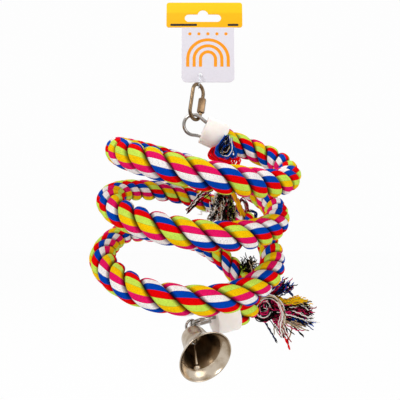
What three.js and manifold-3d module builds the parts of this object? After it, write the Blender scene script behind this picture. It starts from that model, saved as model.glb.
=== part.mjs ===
// A spiral rope perch for a pet bird, hung on a quick link, with its header card and a bell.
// Millimetres, +Z up. The origin is the top of the card's hang slot, where a hook carries everything.
import * as THREE from "three";
import { mergeVertices } from "three/addons/utils/BufferGeometryUtils.js";
import Module from "manifold-3d";

const wasm = await Module();
wasm.setup();

// Clearances
const seatGap = 0.3;
const swingGap = 0.4;
const boreGap = 0.35;

// Rope and its core wire
const ropeDiameter = 25;
const coreWireDiameter = 2.5;
const coreWireTail = 6;

// Spiral of the rope, in the perch's own upright frame, measured from the middle turn
const coilRadius = 85.5;
const coilRadiusGrowth = 2.9;
const coilDepthRatio = 1.1;
const coilPitch = 45.5;
const coilPitchGrowth = 7.7;
const coilTiltDeg = 13.2;
const coilTiltChangeDeg = -2.95;
const coilLeanChangeDeg = 3.05;
const coilDriftX = -6.5;
const coilDriftY = -4.35;
const coilCentreX = -5.1;
const coilFirstTurn = 0.12;
const coilMiddleTurn = 1.28;
const coilLastTurn = 2.56;
const stepsPerTurn = 30;
const ropeSides = 10;
const wireSides = 6;
const ropeStraight = 8;

// White plastic end caps
const capDiameter = 31;
const capLength = 25;
const capWall = 2.7;
const capFloor = 3;
const capFillet = 1.6;
const plugLength = 9;

// Bent wire eyes in the caps
const eyeWireDiameter = 3.8;
const eyeDiameter = 25.4;
const eyeReach = 11.6;
const eyeLegSpread = 16;
const eyeLegDepth = 8;

// Quick link with its nut
const linkWireDiameter = 4;
const linkLength = 43;
const linkWidth = 21;
const linkGap = 4.4;
const linkTurnDeg = 50;
const linkLeanDeg = 8;
const nutAcrossFlats = 7.8;
const nutLength = 16;
const nutGrip = 1.6;
const nutDrop = 0.47 * (linkLength - nutLength);

// How the perch hangs on the link
const perchLeanDeg = 21.9;
const linkAside = 0.5;
const linkTopAside = 1.6;
const upperCap = { end: [3.8, 38, 73], azimuthDeg: 90, fallDeg: 24.3 };
const lowerCap = { end: [12.6, -47, -106.5], azimuthDeg: 111.2, fallDeg: 0 };
const lowerEyeRollDeg = 46;

// Bell, its ring and its clapper
const bellDiameter = 48.6;
const bellHeight = 34;
const bellWall = 0.9;
const bellAzimuthDeg = 23;
const bellRingWire = 2.4;
const bellRingAzimuthDeg = 154;
const bellRingRiseDeg = 60;
const bellRingInnerDiameter = 8.4;
const lugWidth = 7.4;
const lugThickness = 3;
const lugHoleDiameter = 3.7;
const lugRise = 4;
const stemWidth = 6.2;
const clapperDrop = 4;
const shankDiameter = 4;
const clapperWire = 1.5;
const clapperLoopDiameter = 8;
const clapperRodDiameter = 3;
const clapperRodLength = 17.5;
const clapperBeadDiameter = 6;
const clapperFallDeg = 33;

// Yarn bunches in the perch's own upright frame: middle, half sizes and a dip to the right
const blueSkein = { name: "yarn_skein_blue", at: [29, 20, 51], size: [11, 8, 11], dipDeg: 0, color: 0x10306f };
const yarnBunches = [
  blueSkein,
  { name: "yarn_skein_red", at: [26, 27, 42], size: [17, 9, 9], dipDeg: 0, color: 0xb01018, beside: blueSkein },
  { name: "yarn_bunch_middle", at: [31, 71, -27], size: [18, 11, 21], dipDeg: 0, color: 0x3a3430 },
  { name: "yarn_bunch_rear", at: [61, 30, -90], size: [11, 10, 11], dipDeg: 0, color: 0x26221f },
  { name: "yarn_bunch_lower", at: [92, -2, -124], size: [42, 15, 17], dipDeg: 20, color: 0x5a3a3a },
];

// Header card: a yellow top band with a hang slot over a pale panel with a punched hole
const cardThickness = 0.6;
const bandWidth = 84.6;
const bandHeight = 29.6;
const bandMargin = 9;
const bandCorner = 3;
const panelWidth = 58;
const panelHeight = 63.6;
const panelCorner = 6;
const bandCentreX = 1.6;
const panelCentreX = 5.5;
const slotWidth = 40.5;
const slotHeight = 9;
const hookDiameter = 12;
const hookRise = 5;
const tagHoleDiameter = 4;
const tagHoleRise = 9.2;
const tagHoleX = -2.8;

// Tag loop: a thin nylon loop through the card's hole and round the top of the quick link
const tagWire = 1.2;
const tagReach = 14.2;
const tagWidth = 13;
const tagSlack = 0.7;

const { cos, sin, PI } = Math;
const rad = THREE.MathUtils.degToRad;
const V = (x, y, z) => new THREE.Vector3(x, y, z);
const UP = V(0, 0, 1);

// A direction from its azimuth, 0 towards -Y and 90 towards +X, and its rise above level.
function bearing(azimuthDeg, riseDeg) {
  const a = rad(azimuthDeg);
  const e = rad(riseDeg);
  return V(sin(a) * cos(e), -cos(a) * cos(e), sin(e));
}

// The point that lies some steps along each direction from a start.
function offset(start, ...moves) {
  const point = start.clone();
  for (const [direction, distance] of moves) point.addScaledVector(direction, distance);
  return point;
}

// A closed tube through points, with flat ends, or a ring when the points close on themselves.
function tube(points, diameter, sides, isRing = false) {
  const count = points.length;
  const positions = [];
  const index = [];
  let side = V(0, 0, 0);
  for (let i = 0; i < count; i += 1) {
    const before = points[isRing ? (i + count - 1) % count : Math.max(i - 1, 0)];
    const after = points[isRing ? (i + 1) % count : Math.min(i + 1, count - 1)];
    const along = after.clone().sub(before).normalize();
    if (i === 0) side = Math.abs(along.z) < 0.9 ? UP.clone() : V(1, 0, 0);
    side.addScaledVector(along, -side.dot(along)).normalize();
    const other = along.clone().cross(side);
    for (let k = 0; k < sides; k += 1) {
      const angle = (2 * PI * k) / sides;
      const reach = diameter / 2;
      const p = offset(points[i], [side, reach * cos(angle)], [other, reach * sin(angle)]);
      positions.push(p.x, p.y, p.z);
    }
  }
  const spans = isRing ? count : count - 1;
  for (let i = 0; i < spans; i += 1) {
    for (let k = 0; k < sides; k += 1) {
      const a = i * sides + k;
      const b = i * sides + ((k + 1) % sides);
      const c = ((i + 1) % count) * sides + k;
      const d = ((i + 1) % count) * sides + ((k + 1) % sides);
      index.push(a, b, c, b, d, c);
    }
  }
  if (!isRing) {
    const last = (count - 1) * sides;
    for (let k = 1; k < sides - 1; k += 1) {
      index.push(0, k + 1, k, last, last + k, last + k + 1);
    }
  }
  const geometry = new THREE.BufferGeometry();
  geometry.setAttribute("position", new THREE.Float32BufferAttribute(positions, 3));
  geometry.setIndex(index);
  return geometry;
}

// A turned body: the outline is given as [radius, height] pairs and ends up along +Z.
function turned(outline, segments) {
  const points = outline.map(([r, z]) => new THREE.Vector2(r, z));
  return new THREE.LatheGeometry(points, segments).rotateX(PI / 2);
}

function rod(diameter, length, segments) {
  return new THREE.CylinderGeometry(diameter / 2, diameter / 2, length, segments)
    .rotateX(PI / 2)
    .translate(0, 0, length / 2);
}

function toSolid(geometry) {
  const bare = geometry.clone();
  bare.deleteAttribute("normal");
  bare.deleteAttribute("uv");
  const merged = mergeVertices(bare, 1e-4);
  const mesh = new wasm.Mesh({
    numProp: 3,
    vertProperties: new Float32Array(merged.attributes.position.array),
    triVerts: new Uint32Array(merged.index.array),
  });
  return new wasm.Manifold(mesh);
}

function toGeometry(solid) {
  const { vertProperties, triVerts } = solid.getMesh();
  const geometry = new THREE.BufferGeometry();
  geometry.setAttribute("position", new THREE.BufferAttribute(vertProperties, 3));
  geometry.setIndex(new THREE.BufferAttribute(triVerts, 1));
  return geometry;
}

function cut(geometry, ...tools) {
  const body = tools.reduce((left, tool) => left.subtract(toSolid(tool)), toSolid(geometry));
  return toGeometry(body);
}

function join(geometry, ...others) {
  const body = others.reduce((sum, other) => sum.add(toSolid(other)), toSolid(geometry));
  return toGeometry(body);
}

function common(geometry, other) {
  return toGeometry(toSolid(geometry).intersect(toSolid(other)));
}

function material(color, roughness, metalness = 0) {
  return new THREE.MeshStandardMaterial({ color, roughness, metalness });
}

function add(group, name, geometry, finish) {
  const mesh = new THREE.Mesh(geometry, finish);
  mesh.name = name;
  group.add(mesh);
  return mesh;
}

// A matrix that puts local +Z on one direction and local +X near another.
function facing(origin, zAxis, xHint) {
  const z = zAxis.clone().normalize();
  const x = xHint.clone().addScaledVector(z, -xHint.dot(z)).normalize();
  const y = z.clone().cross(x);
  return new THREE.Matrix4().makeBasis(x, y, z).setPosition(origin);
}

function placed(group, matrix) {
  group.position.setFromMatrixPosition(matrix);
  group.quaternion.setFromRotationMatrix(matrix);
  return group;
}

const part = new THREE.Group();

// Everything below the card hangs from the punched hole.
const tagHoleZ = -(bandMargin + panelHeight + bandHeight - 2 * bandMargin - tagHoleRise);
const hanging = new THREE.Group();
hanging.position.set(tagHoleX - linkTopAside, 0, tagHoleZ - tagReach);
part.add(hanging);

// Quick link: its own frame has the leg axis along Z and the inner top of the link at the origin.
const link = new THREE.Group();
link.rotation.order = "YZX";
link.rotation.y = rad(linkLeanDeg);
link.rotation.z = rad(linkTurnDeg);
hanging.add(link);

const linkRadius = (linkWidth - linkWireDiameter) / 2;
const linkTop = linkWireDiameter / 2;
const upperBend = linkTop - linkRadius;
const lowerBend = linkTop - (linkLength - linkWireDiameter) + linkRadius;
const nutTop = linkTop - nutDrop;
const lowerRodEnd = nutTop - nutLength + nutGrip;
const upperRodEnd = lowerRodEnd + linkGap;

function linkPath() {
  const bendSteps = 10;
  const points = [V(linkRadius, 0, lowerRodEnd)];
  for (let i = 0; i <= bendSteps; i += 1) {
    const a = (-PI * i) / bendSteps;
    points.push(V(linkRadius * cos(a), 0, lowerBend + linkRadius * sin(a)));
  }
  for (let i = 0; i <= bendSteps; i += 1) {
    const a = PI - (PI * i) / bendSteps;
    points.push(V(linkRadius * cos(a), 0, upperBend + linkRadius * sin(a)));
  }
  points.push(V(linkRadius, 0, upperRodEnd));
  return points;
}

function nutGeometry() {
  const outline = new THREE.Shape();
  for (let i = 0; i < 6; i += 1) {
    const a = (PI * i) / 3 + PI / 6;
    const r = nutAcrossFlats / 2 / cos(PI / 6);
    const corner = [r * cos(a), r * sin(a)];
    if (i === 0) outline.moveTo(...corner);
    else outline.lineTo(...corner);
  }
  outline.closePath();
  const bore = new THREE.Path();
  bore.absarc(0, 0, linkWireDiameter / 2 + boreGap, 0, 2 * PI, true);
  outline.holes.push(bore);
  return new THREE.ExtrudeGeometry(outline, { depth: nutLength, bevelEnabled: false, curveSegments: 16 });
}

const linkSteel = material(0x8f7f6a, 0.35, 1);
add(link, "quick_link_body", tube(linkPath(), linkWireDiameter, 12), linkSteel);
const nut = add(link, "quick_link_nut", nutGeometry(), material(0x8a7050, 0.4, 1));
nut.position.set(linkRadius, 0, nutTop - nutLength);

// Perch: its own frame is upright, with the spiral's middle at the origin.
const perch = new THREE.Group();
perch.rotation.x = rad(perchLeanDeg);
hanging.add(perch);

const capBore = capDiameter - 2 * capWall;
const ropeInset = capLength - capFloor - plugLength - 2 * seatGap;

// The cap's own frame: +Z runs from its closed end to its open end.
function capFrame(cap, roll) {
  const axis = bearing(cap.azimuthDeg, -cap.fallDeg);
  return facing(V(...cap.end), axis, roll);
}

function capGeometry() {
  const r = capDiameter / 2;
  const bore = capBore / 2;
  const outline = [
    [0, 0], [r - capFillet, 0], [r - 0.3 * capFillet, 0.3 * capFillet], [r, capFillet],
    [r, capLength], [bore, capLength], [bore, capFloor], [0, capFloor],
  ];
  return cut(turned(outline, 32), ...legHoles(-1, capFloor + 2));
}

function plugGeometry() {
  const body = rod(capBore - 2 * seatGap, plugLength, 24).translate(0, 0, capFloor + seatGap);
  const tail = rod(coreWireDiameter + 2 * boreGap, coreWireTail + 2, 12)
    .translate(0, 0, capFloor + seatGap + plugLength - coreWireTail);
  return cut(body, ...legHoles(capFloor, eyeLegDepth - capFloor + seatGap), tail);
}

function legHoles(start, depth) {
  const drill = rod(eyeWireDiameter + 2 * seatGap, depth, 16).translate(0, 0, start);
  return [-1, 1].map((side) => drill.clone().translate((side * eyeLegSpread) / 2, 0, 0));
}

// The eye in the cap's frame: two legs along the cap, joined by an open round bend outside it.
const eyeRadius = (eyeDiameter - eyeWireDiameter) / 2;
const eyeMouth = Math.asin(eyeLegSpread / 2 / eyeRadius) + 0.1;

function eyePath() {
  const bendSteps = 18;
  const half = eyeLegSpread / 2;
  const points = [V(half, 0, eyeLegDepth), V(half, 0, capFloor / 2), V(half, 0, -1.5)];
  for (let i = 0; i <= bendSteps; i += 1) {
    const a = eyeMouth + ((2 * PI - 2 * eyeMouth) * i) / bendSteps;
    points.push(V(eyeRadius * sin(a), 0, -eyeReach + eyeRadius * cos(a)));
  }
  points.push(V(-half, 0, -1.5), V(-half, 0, capFloor / 2), V(-half, 0, eyeLegDepth));
  return points;
}

const whitePlastic = { color: 0xf2ede6, roughness: 0.35 };
const eyeSteel = { color: 0x9a948c, roughness: 0.22, metalness: 1 };

function endFitting(name, matrix) {
  const group = placed(new THREE.Group(), matrix);
  add(group, `${name}_cap`, capGeometry(), new THREE.MeshStandardMaterial(whitePlastic));
  add(group, `${name}_end_plug`, plugGeometry(), material(0xcfc6b4, 0.6));
  add(group, `${name}_eye`, tube(eyePath(), eyeWireDiameter, 10), new THREE.MeshStandardMaterial(eyeSteel));
  perch.add(group);
  return group;
}

const upperFrame = capFrame(upperCap, UP);
const lowerAxis = bearing(lowerCap.azimuthDeg, -lowerCap.fallDeg);
const lowerRoll = bearing(lowerCap.azimuthDeg - 90, 0)
  .multiplyScalar(cos(rad(lowerEyeRollDeg)))
  .addScaledVector(UP, sin(rad(lowerEyeRollDeg)));
const lowerFrame = facing(V(...lowerCap.end), lowerAxis, lowerRoll);
endFitting("upper", upperFrame);
endFitting("lower", lowerFrame);

// The eye rests on the link's lower bend: it is raised until the two wires just clear each other.
function restingRise(lower, upper, clear) {
  let rise = -Infinity;
  for (const a of lower) {
    for (const b of upper) {
      const across = Math.hypot(a.x - b.x, a.y - b.y);
      if (across < clear) rise = Math.max(rise, a.z - b.z + Math.sqrt(clear * clear - across * across));
    }
  }
  return rise;
}

function arcPoints(centreZ, radius, middle, halfAngle, matrix) {
  return Array.from({ length: 81 }, (_, i) => {
    const a = middle + halfAngle * (i / 40 - 1);
    return V(radius * cos(a), 0, centreZ + radius * sin(a)).applyMatrix4(matrix);
  });
}

link.updateMatrix();
perch.updateMatrix();
const eyeMatrix = perch.matrix.clone().multiply(upperFrame);
const eyeTopAngle = -rad(upperCap.fallDeg);
const linkBend = arcPoints(lowerBend, linkRadius, -PI / 2, 1.3, link.matrix);
const eyeTop = V(eyeRadius * cos(eyeTopAngle), 0, -eyeReach + eyeRadius * sin(eyeTopAngle)).applyMatrix4(eyeMatrix);
const linkSeat = V(0, 0, lowerBend - linkRadius).applyMatrix4(link.matrix);
const eyeShift = linkSeat.clone().sub(eyeTop).add(V(-linkAside, 0, 0));
const eyeArc = arcPoints(-eyeReach, eyeRadius, eyeTopAngle, 0.8, eyeMatrix).map((p) => p.add(eyeShift));
const wireClearance = (linkWireDiameter + eyeWireDiameter) / 2 + swingGap;
perch.position.copy(eyeShift).add(V(0, 0, restingRise(linkBend, eyeArc, wireClearance)));
perch.updateMatrix();

// The spiral: each turn has its own tilt and lean, and the turns widen and drift on the way down.
function coilPoint(turn) {
  const down = turn - coilMiddleTurn;
  const angle = -2 * PI * turn;
  const r = coilRadius + coilRadiusGrowth * down;
  const x = r * cos(angle);
  const y = coilDepthRatio * r * sin(angle);
  const tilt = rad(coilTiltDeg + coilTiltChangeDeg * down);
  const lean = rad(coilLeanChangeDeg * down);
  const drop = coilPitch * down + (coilPitchGrowth * down * down) / 2;
  return V(
    coilCentreX + x * cos(tilt) + coilDriftX * down,
    y * cos(lean) + coilDriftY * down,
    -drop - x * sin(tilt) + y * sin(lean),
  );
}

// Between cap and spiral the rope follows points chosen by hand.
const upperRun = [[44, 38, 55.5], [57, 37, 50.5], [70, 31, 45.5], [81, 18, 40.5], [86, 0, 35], [83.5, -24, 32]];
const lowerRun = [
  [-86, 48, -50.5], [-56, 72, -60], [-22, 80, -70], [8, 69, -79], [31, 48, -88],
  [45, 26, -97], [51.5, 6, -104], [53, -10, -107], [50.5, -24, -107.5],
];

function ropePoints() {
  const along = (cap, distance) => offset(V(...cap.end), [bearing(cap.azimuthDeg, -cap.fallDeg), distance]);
  const straight = [capLength + 1, capLength + ropeStraight];
  const knots = [...straight.map((d) => along(upperCap, d)), ...upperRun.map((p) => V(...p))];
  const coilSteps = Math.round((coilLastTurn - coilFirstTurn) * 8);
  for (let i = 0; i <= coilSteps; i += 1) {
    knots.push(coilPoint(coilFirstTurn + ((coilLastTurn - coilFirstTurn) * i) / coilSteps));
  }
  knots.push(...lowerRun.map((p) => V(...p)), ...straight.reverse().map((d) => along(lowerCap, d)));
  const route = new THREE.CatmullRomCurve3(knots, false, "centripetal");
  const turns = route.getLength() / (2 * PI * coilRadius);
  const shown = route.getSpacedPoints(Math.round(turns * stepsPerTurn));
  const inset = capLength - ropeInset;
  return { route, points: [along(upperCap, inset), ...shown, along(lowerCap, inset)] };
}

const { route, points: ropeLine } = ropePoints();

// The rope's least gap to itself, measured between points further apart along it than three diameters.
function leastGap() {
  const fine = route.getSpacedPoints(600);
  const apart = Math.ceil((3 * ropeDiameter) / (route.getLength() / 600));
  let least = Infinity;
  for (let i = 0; i < fine.length; i += 1) {
    for (let j = i + apart; j < fine.length; j += 1) least = Math.min(least, fine[i].distanceTo(fine[j]));
  }
  return least - ropeDiameter;
}
console.log(`rope length ${route.getLength().toFixed(0)} mm, least gap to itself ${leastGap().toFixed(1)} mm`);

// A line of points carried on straight past both of its ends.
function lengthened(points, extra) {
  const first = points[0].clone().sub(points[1]).setLength(extra).add(points[0]);
  const end = points.length - 1;
  const last = points[end].clone().sub(points[end - 1]).setLength(extra).add(points[end]);
  return [first, ...points, last];
}

const cotton = { color: 0xd8504f, roughness: 0.9 };
const ropeBore = tube(lengthened(ropeLine, 2), coreWireDiameter + 2 * boreGap, wireSides);
add(perch, "rope", cut(tube(ropeLine, ropeDiameter, ropeSides), ropeBore), new THREE.MeshStandardMaterial(cotton));
const coreLine = lengthened(ropeLine, coreWireTail - seatGap);
add(perch, "core_wire", tube(coreLine, coreWireDiameter, wireSides), material(0x8c8c8c, 0.4, 1));

// Bunches of yarn: rounded bodies that lie on the rope, cut clear of what they touch.
const ropeKeepOut = tube(lengthened(ropeLine, 1), ropeDiameter + 2 * seatGap, ropeSides);
const capKeepOut = rod(capDiameter + 2 * seatGap, capLength + seatGap, 32).applyMatrix4(upperFrame);

function bunch([x, y, z], [rx, ry, rz], dipDeg) {
  return new THREE.SphereGeometry(1, 14, 9)
    .scale(rx, ry, rz)
    .rotateY(rad(dipDeg))
    .translate(x, y, z);
}

const grown = (size) => size.map((s) => s + seatGap);
for (const { name, at, size, dipDeg, color, beside } of yarnBunches) {
  const neighbours = beside ? [bunch(beside.at, grown(beside.size), beside.dipDeg)] : [];
  add(perch, name, cut(bunch(at, size, dipDeg), ropeKeepOut, capKeepOut, ...neighbours), material(color, 0.95));
}

// Bell: it hangs on the lower eye by a ring, its mouth turned up towards the front.
const eyeEnd = V(0, 0, -eyeReach - eyeRadius).applyMatrix4(lowerFrame);
const ringUp = bearing(bellRingAzimuthDeg, bellRingRiseDeg);
const ringRadius = (bellRingInnerDiameter + bellRingWire) / 2;
const ringToEye = 2 * ringRadius - (bellRingWire + eyeWireDiameter) / 2 - swingGap;
const bellAxis = bearing(bellAzimuthDeg, 0);
const lugHole = offset(eyeEnd, [ringUp, -ringToEye]);
const boreAxis = bellAxis.clone().cross(ringUp).normalize();
const bellCrown = offset(lugHole, [bellAxis, lugRise]);
const bell = placed(new THREE.Group(), facing(bellCrown, bellAxis, boreAxis));
perch.add(bell);

// The bell's own frame: the crown is at the origin, +Z runs to the mouth and +X along the lug's hole.
const mouthRadius = bellDiameter / 2;
const shankRadius = shankDiameter / 2;

function bellOutline() {
  const shape = [
    [0.28, 0.008], [0.46, 0.06], [0.575, 0.17], [0.62, 0.31], [0.655, 0.48], [0.70, 0.64],
    [0.765, 0.79], [0.86, 0.9], [0.965, 0.97], [1, 1],
  ];
  const outer = shape.map(([r, z]) => [r * mouthRadius, z * bellHeight]);
  const inner = outer.map(([r, z], i) => [r - bellWall * (i > 2 ? 0.95 : 0.5), z + bellWall * (i > 2 ? 0.15 : 0.9)]);
  const lip = [[mouthRadius + 0.4, bellHeight + 0.5], [mouthRadius, bellHeight + 1]];
  const hole = shankRadius + seatGap;
  return [[hole, 0], ...outer, ...lip, ...inner.reverse().slice(1), [hole, bellWall], [hole, 0]];
}

const clapperPivot = bellWall + seatGap + clapperDrop;

function lugGeometry() {
  const headTop = -lugRise - lugWidth / 2;
  const half = lugWidth / 2;
  const crown = [[0, headTop], [0.7 * half, headTop + 0.6], [half, headTop + 2]];
  const head = turned([...crown, [half, -seatGap], [0, -seatGap]], 20);
  const inside = bellWall + seatGap;
  const stemEnd = clapperPivot + stemWidth / 2;
  const stem = turned([[0, inside], [stemWidth / 2, inside], [stemWidth / 2, stemEnd - 1.5], [0, stemEnd]], 20);
  const slab = new THREE.BoxGeometry(lugThickness, 2 * lugWidth, 4 * lugWidth);
  const bite = 0.2;
  const shank = rod(shankDiameter, bellWall + 2 * (seatGap + bite), 20).translate(0, 0, -seatGap - bite);
  const hole = new THREE.CylinderGeometry(lugHoleDiameter / 2, lugHoleDiameter / 2, 2 * lugWidth, 16).rotateZ(PI / 2);
  const body = join(common(head, slab), shank, common(stem, slab));
  return cut(body, hole.clone().translate(0, 0, -lugRise), hole.clone().translate(0, 0, clapperPivot));
}

function ringPoints(radius, steps) {
  return Array.from({ length: steps }, (_, i) => {
    const a = (2 * PI * i) / steps;
    return V(radius * cos(a), radius * sin(a), 0);
  });
}

const bellMetal = { color: 0xb9a68a, roughness: 0.18, metalness: 1 };
add(bell, "bell_cup", turned(bellOutline(), 36), new THREE.MeshStandardMaterial(bellMetal));
add(bell, "bell_lug", lugGeometry(), new THREE.MeshStandardMaterial(bellMetal));
const ringCentre = offset(lugHole, [ringUp, ringRadius]);
const bellRing = placed(new THREE.Group(), facing(ringCentre, ringUp.clone().cross(boreAxis), boreAxis));
add(bellRing, "bell_ring", tube(ringPoints(ringRadius, 24), bellRingWire, 8, true), material(0x9a948c, 0.25, 1));
perch.add(bellRing);

// Clapper: a wire loop through the lug's inner hole carries a rod with a bead.
const clapper = new THREE.Group();
clapper.position.set(0, 0, clapperPivot);
clapper.rotation.x = -rad(clapperFallDeg);
bell.add(clapper);
const loopRadius = (clapperLoopDiameter - clapperWire) / 2;
const loop = tube(ringPoints(loopRadius, 20), clapperWire, 6, true).rotateX(PI / 2).translate(0, 0, loopRadius);
add(clapper, "clapper_hook", loop, material(0x8a8278, 0.3, 1));
const rodTop = 2 * loopRadius + clapperWire / 2 + seatGap;
const clapperRod = rod(clapperRodDiameter, clapperRodLength, 14).translate(0, 0, rodTop);
add(clapper, "clapper_rod", clapperRod, material(0xd8d2c6, 0.2, 1));
const bead = new THREE.SphereGeometry(clapperBeadDiameter / 2, 16, 10)
  .rotateX(PI / 2)
  .translate(0, 0, rodTop + clapperRodLength + seatGap + clapperBeadDiameter / 2);
add(clapper, "clapper_bead", bead, material(0xcfc6b8, 0.2, 1));

// Header card: all its heights follow from the top of the hang slot, at the origin.
function roundedRectangle(centreX, centreZ, width, height, corner) {
  const x0 = centreX - width / 2;
  const z0 = centreZ - height / 2;
  const shape = new THREE.Shape();
  const corners = [[width - corner, corner, -90], [width - corner, height - corner, 0], [corner, height - corner, 90],
    [corner, corner, 180]];
  shape.moveTo(x0 + corner, z0);
  for (const [dx, dz, start] of corners) {
    shape.absarc(x0 + dx, z0 + dz, corner, rad(start), rad(start + 90), false);
  }
  return shape;
}

function board(shape, thickness) {
  return new THREE.ExtrudeGeometry(shape, { depth: thickness, bevelEnabled: false, curveSegments: 6 })
    .rotateX(PI / 2)
    .translate(0, thickness / 2, 0);
}

function punch(x, z, diameter) {
  return new THREE.CylinderGeometry(diameter / 2, diameter / 2, 4 * cardThickness, 24).translate(x, 0, z);
}

function cardGeometry() {
  const bandTop = bandMargin;
  const bandBottom = bandTop - bandHeight;
  const slotTop = -hookRise;
  const tuck = panelCorner;
  const band = roundedRectangle(bandCentreX, (bandTop + bandBottom) / 2, bandWidth, bandHeight, bandCorner);
  const panel = roundedRectangle(
    panelCentreX, bandBottom + (tuck - panelHeight) / 2, panelWidth, panelHeight + tuck, panelCorner);
  const slot = roundedRectangle(0, slotTop - slotHeight / 2, slotWidth, slotHeight, slotHeight / 2 - 0.01);
  const hook = punch(0, -hookDiameter / 2, hookDiameter);
  const sheet = join(board(band, cardThickness), board(panel, cardThickness));
  return cut(sheet, board(slot, 4 * cardThickness), hook, punch(tagHoleX, tagHoleZ, tagHoleDiameter));
}

add(part, "header_card", cardGeometry(), material(0xf2b90f, 0.5));

// The tag loop is an upright oval: its top goes through the hole and its foot under the link's top.
function tagPoints() {
  const steps = 28;
  const top = -tagHoleDiameter / 2 + tagWire / 2 + tagSlack;
  const foot = -tagReach - tagWire / 2 - tagSlack;
  const points = [];
  for (let i = 0; i < steps; i += 1) {
    const a = (2 * PI * i) / steps;
    points.push(V(0, (tagWidth / 2) * cos(a), (top + foot) / 2 + ((top - foot) / 2) * sin(a)));
  }
  return points;
}

const tag = new THREE.Group();
tag.position.set(tagHoleX, 0, tagHoleZ);
tag.rotation.y = Math.atan2(linkTopAside, tagReach);
part.add(tag);
add(tag, "card_tag_loop", tube(tagPoints(), tagWire, 8, true), material(0xe8eef0, 0.3));

export default part;
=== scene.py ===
import math
import random

import bpy
import numpy as np
from mathutils import Matrix, Vector


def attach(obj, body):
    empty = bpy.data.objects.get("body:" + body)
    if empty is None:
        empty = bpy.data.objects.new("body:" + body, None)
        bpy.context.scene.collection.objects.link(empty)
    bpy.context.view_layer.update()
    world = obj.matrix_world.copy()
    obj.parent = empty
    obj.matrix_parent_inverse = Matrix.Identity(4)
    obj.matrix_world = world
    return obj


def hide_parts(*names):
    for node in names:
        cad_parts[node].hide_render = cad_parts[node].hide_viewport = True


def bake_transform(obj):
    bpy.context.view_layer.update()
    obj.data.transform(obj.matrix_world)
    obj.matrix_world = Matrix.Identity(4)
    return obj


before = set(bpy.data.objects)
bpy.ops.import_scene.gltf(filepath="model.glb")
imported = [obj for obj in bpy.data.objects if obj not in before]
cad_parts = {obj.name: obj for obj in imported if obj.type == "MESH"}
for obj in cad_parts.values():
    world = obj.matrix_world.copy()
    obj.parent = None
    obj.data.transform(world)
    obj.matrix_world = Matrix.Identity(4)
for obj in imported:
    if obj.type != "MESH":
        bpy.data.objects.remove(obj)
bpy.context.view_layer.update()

# Sizes and places are in millimetres, and in the perch's own upright frame, where nothing else is said
MM = 0.001
UP = Vector((0, 0, 1))

# The perch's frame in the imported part
PERCH_ORIGIN = (-3.2771, -2.2209, -217.2348)
PERCH_LEAN_DEG = 21.9
PERCH_LEAN = Matrix.Rotation(math.radians(PERCH_LEAN_DEG), 4, "X")
PERCH = Matrix.Translation(Vector(PERCH_ORIGIN) * MM) @ PERCH_LEAN @ Matrix.Scale(MM, 4)

# Camera, and the picture it takes
CAMERA_AT = (0, -351.3, 101.4)
CAMERA_PITCH_DEG = -15.58
LENS_MM = 31.5
SENSOR_MM = 36
PICTURE_PIXELS = 400

# Rope: three oval strands, and the step along them and the columns across each in the mesh
ROPE_DIAMETER = 25.0
ROPE_LAY = 59.0
STRAND_THICKNESS = 5.8
STRAND_WIDTH = 7.7
THIRD_TURN = 2 * math.pi / 3
ROPE_STEP = 1.6
COLUMNS = 24
AROUND = 3 * COLUMNS

# Bands of dyed yarn on the strands. Each stands out a little, and less towards the grooves.
STRIPES_PER_LAY = 14.04
ROPE_DYES = ("#0045b4", "#ee0206", "#cfee58", "#ffca06", "#ee1866", "#fdf7f5")
BAND_RISE = 0.45
BAND_LEVEL = 0.6
BAND_FADE = 1.4

# The count of bands starts at a multiple of six that keeps it above zero, and each strand's fibres are
# shifted along it
FIRST_BAND = 600
FIBRE_SHIFT = 37

# The hand-laid rope is twisted unevenly: how many degrees the strands are ahead of an even lay, at
# places along the rope in mm, to the nearest 5 degrees
FIRST_PHASE_DEG = 32.0
TWIST_PLACES = (0, 90, 270, 340, 760, 840, 1050, 1260, 1500, 1700)
TWIST_AHEAD_DEG = (-95, -70, -5, -5, 75, 115, 60, 150, 90, 135)

# How many bands each strand has rolled round its own middle, to the nearest half band
ROLL_PLACES = (0, 650, 1300, 1787)
STRAND_ROLL = ((5.0, 5.5, 5.5, 5.5), (1.0, 2.5, 4.0, 2.0), (5.5, 8.5, 9.5, 6.5))

# Spiral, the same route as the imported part's
COIL_RADIUS = 85.5
COIL_GROWTH = 2.9
COIL_DEPTH_RATIO = 1.1
COIL_PITCH = 45.5
COIL_PITCH_GROWTH = 7.7
COIL_TILT_DEG = 13.2
COIL_TILT_CHANGE_DEG = -2.95
COIL_LEAN_CHANGE_DEG = 3.05
COIL_DRIFT = (-6.5, -4.35)
COIL_CENTRE_X = -5.1
COIL_TURNS = (0.12, 1.28, 2.56)
KNOTS_PER_TURN = 8
UPPER_RUN = [(44, 38, 55.5), (57, 37, 50.5), (70, 31, 45.5), (81, 18, 40.5), (86, 0, 35), (83.5, -24, 32)]
LOWER_RUN = [
    (-86, 48, -50.5), (-56, 72, -60), (-22, 80, -70), (8, 69, -79), (31, 48, -88),
    (45, 26, -97), (51.5, 6, -104), (53, -10, -107), (50.5, -24, -107.5),
]

# Core wire, and how far its ends reach past the rope's into the resin in the caps
CORE_WIRE = 2.5
CORE_WIRE_TAIL = 5.7
CORE_WIRE_STEP = 4.0
CORE_WIRE_SIDES = 12

# Caps: the middle of the closed end, then the bearing and the fall of the axis in degrees
UPPER_CAP = ((3.8, 38, 73), 90, 24.3)
LOWER_CAP = ((12.6, -47, -106.5), 111.2, 0)
CAP_LENGTH = 25.0
CAP_DIAMETER = 31
CAP_BORE = 25.6
CAP_FLOOR = 3
CAP_DISH = 0.2
CAP_SWELL = 0.05
CAP_ROUND = 1.6
ROPE_START_IN_CAP = 13.0
ROPE_STRAIGHT = 8.0

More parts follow.
